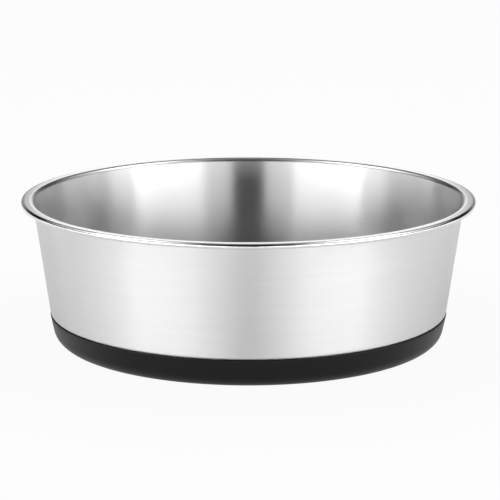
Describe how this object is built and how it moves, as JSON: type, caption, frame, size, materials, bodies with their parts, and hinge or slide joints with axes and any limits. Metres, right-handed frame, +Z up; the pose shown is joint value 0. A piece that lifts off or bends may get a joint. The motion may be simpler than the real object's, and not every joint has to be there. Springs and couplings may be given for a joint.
{
  "type": "dog bowl",
  "caption": "Round stainless steel dog bowl with a tapered brushed wall, a flared and rolled rim, and a black rubber base that pulls off.",
  "frame": {"origin": "centre of the base on the floor that the bowl stands on", "axes": "+Z up along the axis of the bowl, -Y towards the side that the picture shows"},
  "size_m": [0.228, 0.228, 0.0725],
  "materials": {
    "stainless_steel": "satin, brushed round the outside of the wall, finer and brighter inside and on the rim",
    "black_rubber": "satin, moulded"
  },
  "bodies": {
    "base": {"rubber_base": "black_rubber"},
    "bowl": {"bowl_shell": "stainless_steel"}
  },
  "joints": [
    {"name": "bowl_lift", "type": "slide", "parent": "base", "child": "bowl", "axis": [0, 0, 1], "range_m": [0, 0.05]}
  ]
}
